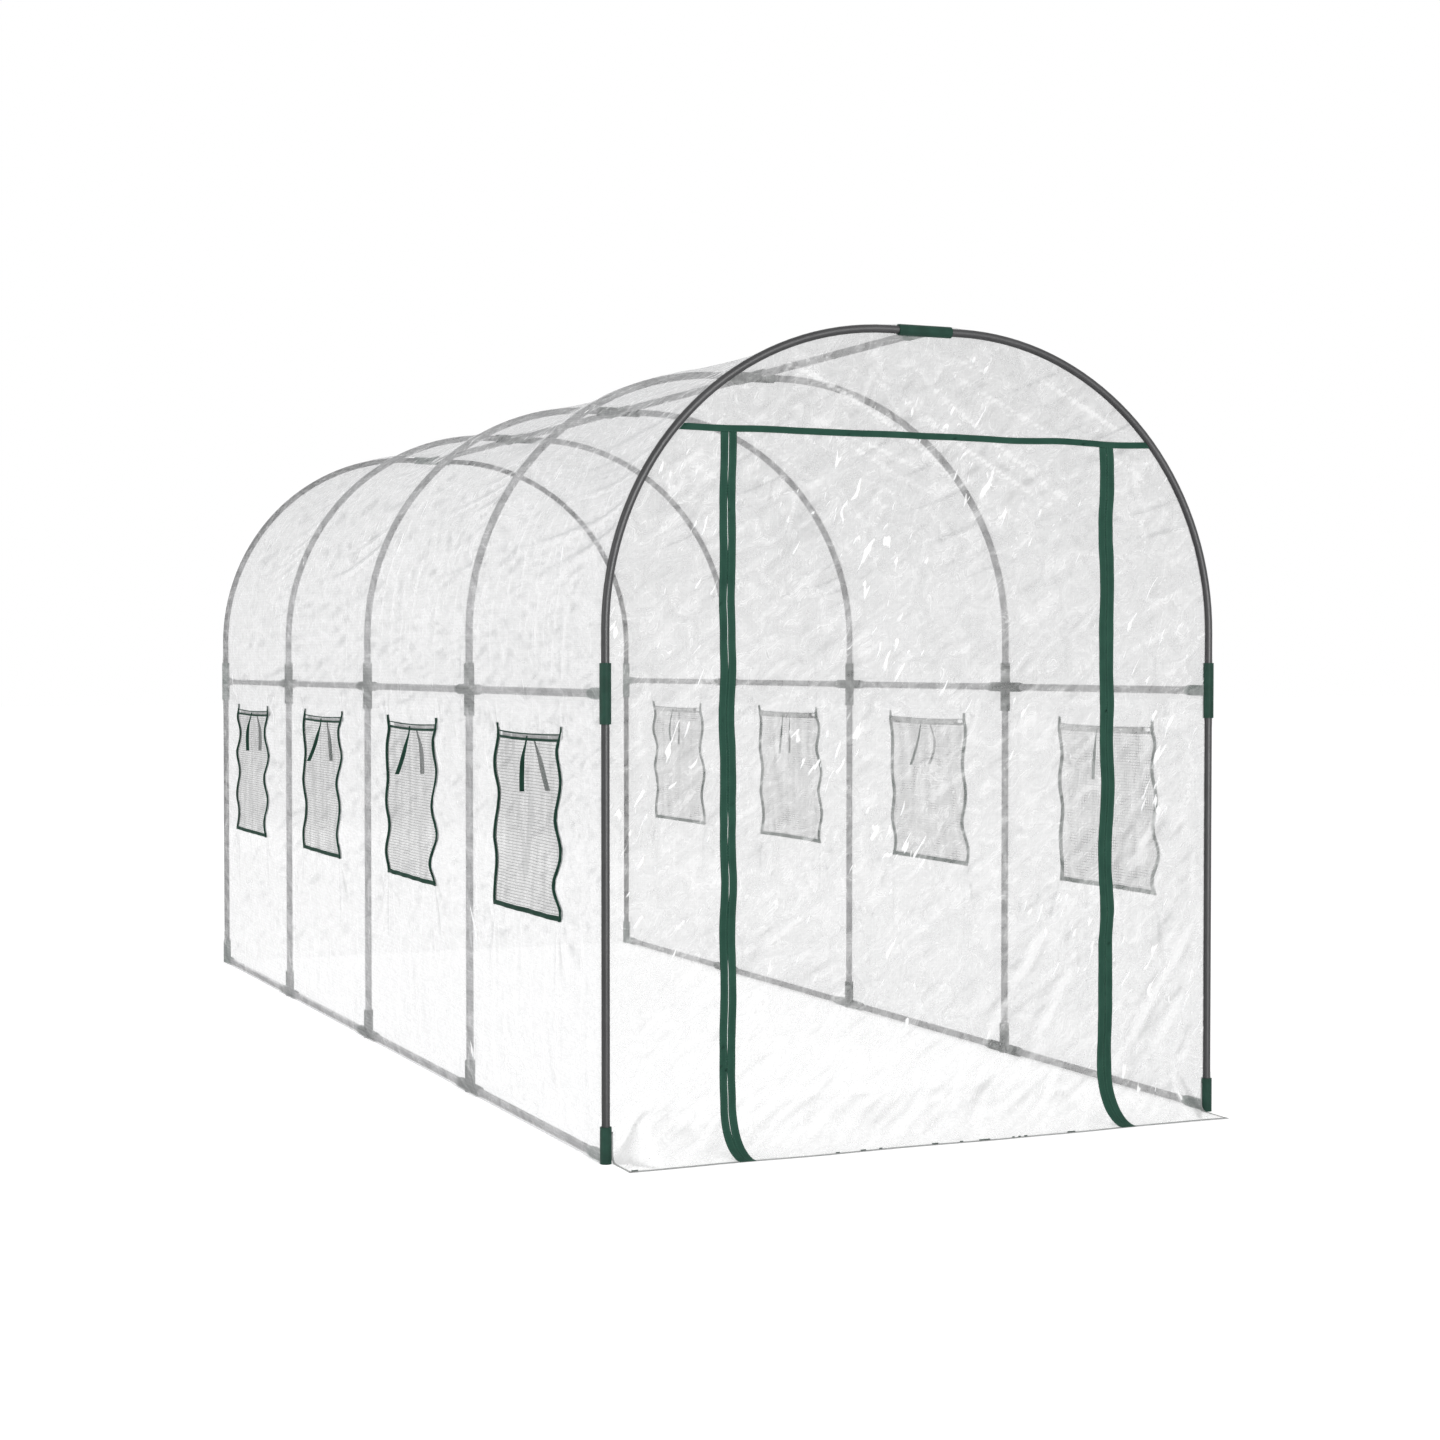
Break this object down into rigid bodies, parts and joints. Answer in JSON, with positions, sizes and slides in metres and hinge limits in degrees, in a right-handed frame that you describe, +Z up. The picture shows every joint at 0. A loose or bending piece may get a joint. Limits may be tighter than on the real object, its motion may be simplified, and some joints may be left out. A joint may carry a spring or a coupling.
{
  "type": "polytunnel greenhouse",
  "caption": "Walk-in polytunnel greenhouse: hoops of push-fit steel tube under a translucent film cover with a zipped front door, net side windows and no floor.",
  "frame": {"origin": "centre of the plan at ground level", "axes": "+Y along the tunnel from the zipped door to the rear, +X across it to the right seen from the door, +Z up"},
  "size_m": [1.7286, 4.334, 2.0163],
  "materials": {
    "tube": "charcoal powder coat, satin",
    "fitting": "dark green moulded polypropylene, satin",
    "film": "translucent white ripstop polyethylene film",
    "zip": "dark green woven zip tape",
    "net": "pale grey-green insect net",
    "binding": "very dark green woven binding tape"
  },
  "bodies": {
    "root": {"front_legs": "tube", "second_legs": "tube", "third_legs": "tube", "fourth_legs": "tube", "rear_legs": "tube", "front_arch_tubes": "tube", "second_arch_tubes": "tube", "third_arch_tubes": "tube", "fourth_arch_tubes": "tube", "rear_arch_tubes": "tube", "left_waist_purlins": "tube", "right_waist_purlins": "tube", "ridge_bars": "tube", "left_ground_rails": "tube", "right_ground_rails": "tube", "front_ridge_tee": "fitting", "inner_ridge_crosses": "fitting", "rear_ridge_tee": "fitting", "front_waist_tees": "fitting", "left_waist_crosses": "fitting", "right_waist_crosses": "fitting", "rear_waist_tees": "fitting", "front_corner_feet": "fitting", "left_inner_feet": "fitting", "right_inner_feet": "fitting", "rear_corner_feet": "fitting", "left_wall_film": "film", "right_wall_film": "film", "roof_film": "film", "front_gable_film": "film", "front_door_film": "film", "rear_gable_film": "film", "left_door_zip": "zip", "right_door_zip": "zip", "door_header_band": "binding", "left_window_screens": "net", "right_window_screens": "net", "left_window_bindings": "binding", "right_window_bindings": "binding", "left_window_flaps": "film", "right_window_flaps": "film", "left_window_ties": "binding", "right_window_ties": "binding"}
  },
  "joints": []
}
